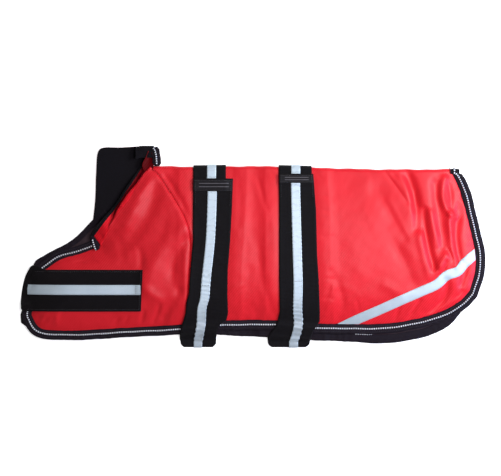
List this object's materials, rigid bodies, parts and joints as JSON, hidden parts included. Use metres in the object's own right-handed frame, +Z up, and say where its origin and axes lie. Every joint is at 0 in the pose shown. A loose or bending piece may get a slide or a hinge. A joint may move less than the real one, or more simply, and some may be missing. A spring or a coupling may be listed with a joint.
{
  "type": "folded dog raincoat",
  "caption": "Red dog raincoat with black belly straps, chest flap and collar and silver reflective tapes, folded along its spine and laid flat.",
  "frame": {"origin": "middle of the laid coat's box, at the level of the surface that it lies on", "axes": "+X from the nose end to the tail, +Y towards the fold along the spine, +Z up through the folded cloth"},
  "size_m": [0.6951, 0.3026, 0.0278],
  "materials": {
    "red_shell": "coated nylon, soft sheen",
    "black_lining": "matt lining cloth",
    "black_binding": "woven binding tape",
    "piping": "reflective piping",
    "webbing": "ribbed elastic",
    "hook_and_loop": "brushed loop cloth",
    "woven_label": "smooth woven label",
    "reflective_tape": "silver reflective tape"
  },
  "bodies": {
    "root": {"back_panel": "red_shell", "front_near": "red_shell", "front_far": "red_shell", "collar_near": "red_shell", "collar_far": "red_shell", "lining_back": "black_lining", "lining_front": "black_lining", "hidden_layers": "black_lining", "collar_far_lining": "black_lining", "collar_near_lining": "black_lining", "collar_back": "black_lining", "hem_binding_near": "black_binding", "hem_binding_far": "black_binding", "neck_binding_near": "black_binding", "neck_binding_far": "black_binding", "collar_back_binding": "black_binding", "hem_piping": "piping", "neck_piping": "piping", "collar_back_piping": "piping", "strap_front_base": "webbing", "strap_front_band": "webbing", "strap_rear_base": "webbing", "strap_rear_band": "webbing", "chest_flap": "hook_and_loop", "strap_front_label": "woven_label", "strap_rear_label": "woven_label", "chest_tape": "reflective_tape", "tail_tape": "reflective_tape", "strap_front_tape": "reflective_tape", "strap_front_base_tape": "reflective_tape", "strap_rear_tape": "reflective_tape", "strap_rear_base_tape": "reflective_tape"}
  },
  "joints": []
}
